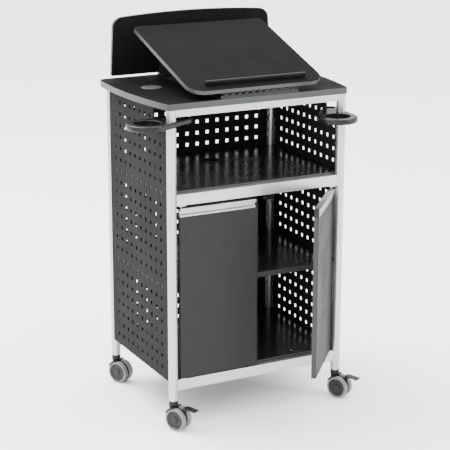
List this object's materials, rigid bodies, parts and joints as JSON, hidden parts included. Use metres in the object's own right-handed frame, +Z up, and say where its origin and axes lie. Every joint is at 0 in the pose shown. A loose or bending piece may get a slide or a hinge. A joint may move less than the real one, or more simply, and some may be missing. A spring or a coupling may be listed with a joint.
{
  "type": "presentation lectern",
  "caption": "Mobile presentation lectern with a tilting reading board, back screen, open equipment bay, perforated panels, two-door cabinet, swing-out cup holders and casters.",
  "frame": {"origin": "on the floor, under the middle of the whole object's box at rest", "axes": "+X to the right of a person standing at the doors and looking at them, +Y to the back screen, +Z up"},
  "size_m": [0.8106, 0.7073, 1.288],
  "materials": {
    "silver_paint": "satin silver powder coat",
    "charcoal_paint": "fine-textured charcoal powder coat",
    "desk_laminate": "dark grey laminate, semi-gloss",
    "shelf_laminate": "black laminate, semi-gloss",
    "door_laminate": "charcoal laminate, satin",
    "aluminium": "anodised, brushed",
    "zinc": "zinc plated",
    "black_steel": "black powder coat",
    "black_plastic": "moulded, fine texture",
    "grey_plastic": "moulded, light grey",
    "tread": "grey polyurethane tread"
  },
  "bodies": {
    "frame": {"post_front_left": "silver_paint", "post_front_right": "silver_paint", "post_rear_left": "silver_paint", "post_rear_right": "silver_paint", "top_rails": "silver_paint", "middle_rail": "silver_paint", "bottom_rails": "silver_paint", "side_panel_left": "charcoal_paint", "side_panel_right": "charcoal_paint", "back_panel": "charcoal_paint", "tabletop": "desk_laminate", "tabletop_screws": "zinc", "equipment_shelf": "shelf_laminate", "cabinet_shelf": "shelf_laminate", "bottom_shelf": "shelf_laminate", "shelf_brackets": "zinc", "backboard": "desk_laminate", "backboard_bracket": "black_steel", "desk_grommets": "grey_plastic", "desk_grommet_caps": "grey_plastic", "shelf_grommet": "black_plastic", "caster_sockets": "black_plastic", "hinge_plates": "zinc", "door_catches": "black_plastic", "easel_base": "black_steel", "cup_collars": "zinc", "board_hinge_pin": "zinc"},
    "door_left_body": {"door_left": "door_laminate", "door_left_handle": "aluminium", "door_left_cap": "black_plastic", "door_left_pivots": "zinc"},
    "door_right_body": {"door_right": "door_laminate", "door_right_handle": "aluminium", "door_right_cap": "black_plastic", "door_right_pivots": "zinc"},
    "reading_desk": {"reading_board": "desk_laminate", "paper_ledge": "black_plastic", "board_hinge_leaf": "black_steel", "strut_ears": "black_steel"},
    "strut": {"prop_strut": "black_steel"},
    "cup_left": {"cup_holder_left": "black_plastic"},
    "cup_right": {"cup_holder_right": "black_plastic"},
    "caster_fl": {"caster_fl_housing": "black_plastic", "caster_fl_axle": "zinc"},
    "caster_fl_wheels": {"caster_fl_hubs": "black_plastic", "caster_fl_treads": "tread"},
    "brake_fl": {"brake_lever_fl": "black_plastic"},
    "caster_fr": {"caster_fr_housing": "black_plastic", "caster_fr_axle": "zinc"},
    "caster_fr_wheels": {"caster_fr_hubs": "black_plastic", "caster_fr_treads": "tread"},
    "brake_fr": {"brake_lever_fr": "black_plastic"},
    "caster_rl": {"caster_rl_housing": "black_plastic", "caster_rl_axle": "zinc"},
    "caster_rl_wheels": {"caster_rl_hubs": "black_plastic", "caster_rl_treads": "tread"},
    "caster_rr": {"caster_rr_housing": "black_plastic", "caster_rr_axle": "zinc"},
    "caster_rr_wheels": {"caster_rr_hubs": "black_plastic", "caster_rr_treads": "tread"}
  },
  "joints": [
    {"name": "door_left_hinge", "type": "hinge", "parent": "frame", "child": "door_left_body", "pos_m": [-0.23076, -0.14486, 0.4], "axis": [0, 0, -1], "range_deg": [0, 95]},
    {"name": "door_right_hinge", "type": "hinge", "parent": "frame", "child": "door_right_body", "pos_m": [0.31921, -0.14486, 0.4], "axis": [0, 0, 1], "range_deg": [-49, 46]},
    {"name": "board_tilt", "type": "hinge", "parent": "frame", "child": "reading_desk", "pos_m": [0.04422, -0.14885, 1.0815], "axis": [1, 0, 0], "range_deg": [-18, 20]},
    {"name": "strut_swing", "type": "hinge", "parent": "reading_desk", "child": "strut", "pos_m": [0.04422, 0.04089, 1.14473], "axis": [1, 0, 0], "range_deg": [-40, 36]},
    {"name": "cup_left_swivel", "type": "hinge", "parent": "frame", "child": "cup_left", "pos_m": [-0.26228, -0.14286, 1.019], "axis": [0, 0, 1], "range_deg": [-35, 90]},
    {"name": "cup_right_swivel", "type": "hinge", "parent": "frame", "child": "cup_right", "pos_m": [0.35072, -0.14286, 0.994], "axis": [0, 0, 1], "range_deg": [-50, 90]},
    {"name": "caster_fl_swivel", "type": "hinge", "parent": "frame", "child": "caster_fl", "pos_m": [-0.26228, -0.14286, 0.096], "axis": [0, 0, 1], "continuous": true},
    {"name": "caster_fl_roll", "type": "hinge", "parent": "caster_fl", "child": "caster_fl_wheels", "pos_m": [-0.25289, -0.16051, 0.0375], "axis": [0.8829, 0.4695, 0], "continuous": true},
    {"name": "brake_fl_press", "type": "hinge", "parent": "caster_fl", "child": "brake_fl", "pos_m": [-0.23886, -0.1869, 0.07312], "axis": [0.8829, 0.4695, 0], "range_deg": [0, 10]},
    {"name": "caster_fr_swivel", "type": "hinge", "parent": "frame", "child": "caster_fr", "pos_m": [0.35072, -0.14286, 0.096], "axis": [0, 0, 1], "continuous": true},
    {"name": "caster_fr_roll", "type": "hinge", "parent": "caster_fr", "child": "caster_fr_wheels", "pos_m": [0.36011, -0.16051, 0.0375], "axis": [0.8829, 0.4695, 0], "continuous": true},
    {"name": "brake_fr_press", "type": "hinge", "parent": "caster_fr", "child": "brake_fr", "pos_m": [0.37414, -0.1869, 0.07312], "axis": [0.8829, 0.4695, 0], "range_deg": [0, 10]},
    {"name": "caster_rl_swivel", "type": "hinge", "parent": "frame", "child": "caster_rl", "pos_m": [-0.26228, 0.32715, 0.096], "axis": [0, 0, 1], "continuous": true},
    {"name": "caster_rl_roll", "type": "hinge", "parent": "caster_rl", "child": "caster_rl_wheels", "pos_m": [-0.25289, 0.30949, 0.0375], "axis": [0.8829, 0.4695, 0], "continuous": true},
    {"name": "caster_rr_swivel", "type": "hinge", "parent": "frame", "child": "caster_rr", "pos_m": [0.35072, 0.32715, 0.096], "axis": [0, 0, 1], "continuous": true},
    {"name": "caster_rr_roll", "type": "hinge", "parent": "caster_rr", "child": "caster_rr_wheels", "pos_m": [0.36011, 0.30949, 0.0375], "axis": [0.8829, 0.4695, 0], "continuous": true}
  ],
  "couplings": [
    {"joint": "strut_swing", "follows": "board_tilt", "ratio": -2}
  ]
}
